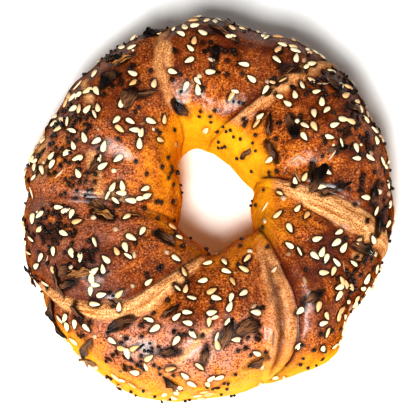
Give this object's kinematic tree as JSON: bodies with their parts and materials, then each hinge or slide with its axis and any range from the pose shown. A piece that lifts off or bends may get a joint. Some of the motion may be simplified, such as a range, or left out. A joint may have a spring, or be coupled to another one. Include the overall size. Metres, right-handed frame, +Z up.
{
  "type": "everything bagel",
  "caption": "Hand-rolled ring of bread, its rope of dough wound round in deep spiral folds, topped with seeds and dried onion and baked flat underneath.",
  "frame": {"origin": "middle of the bagel's outline, on the surface it lies on", "axes": "+Z up through the hole; -Y towards the side that the picture was taken from; +X to the right in it"},
  "size_m": [0.1155, 0.1222, 0.0366],
  "materials": {
    "crust": "satin",
    "sesame": "matte",
    "poppy": "matte",
    "onion": "satin",
    "garlic": "matte"
  },
  "bodies": {
    "root": {"bagel": "crust"}
  },
  "joints": []
}
